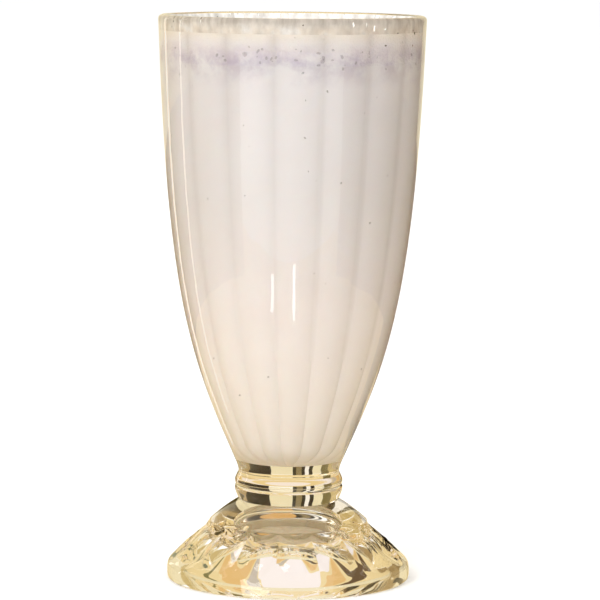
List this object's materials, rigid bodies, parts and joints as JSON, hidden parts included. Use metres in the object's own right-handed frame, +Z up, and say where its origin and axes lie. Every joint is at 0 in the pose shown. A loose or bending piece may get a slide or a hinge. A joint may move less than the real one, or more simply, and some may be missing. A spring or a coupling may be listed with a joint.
{
  "type": "milkshake in a footed soda glass",
  "caption": "Lemon milkshake filled to just below the rim of a tall, footed, pressed soda-fountain glass, with a layer of froth on top.",
  "frame": {"origin": "middle of the flat ring that the foot rests on", "axes": "+Z up along the glass's axis; -Y towards the viewer; the bowl's inside has a ridge 14.5 degrees round from +X towards +Y, and the foot has one at 16.4 degrees"},
  "size_m": [0.083, 0.083, 0.176],
  "materials": {
    "glass": "gloss",
    "milkshake": "satin",
    "froth": "matte"
  },
  "bodies": {
    "root": {"glass": "glass", "milkshake": "milkshake", "froth": "froth"}
  },
  "joints": []
}
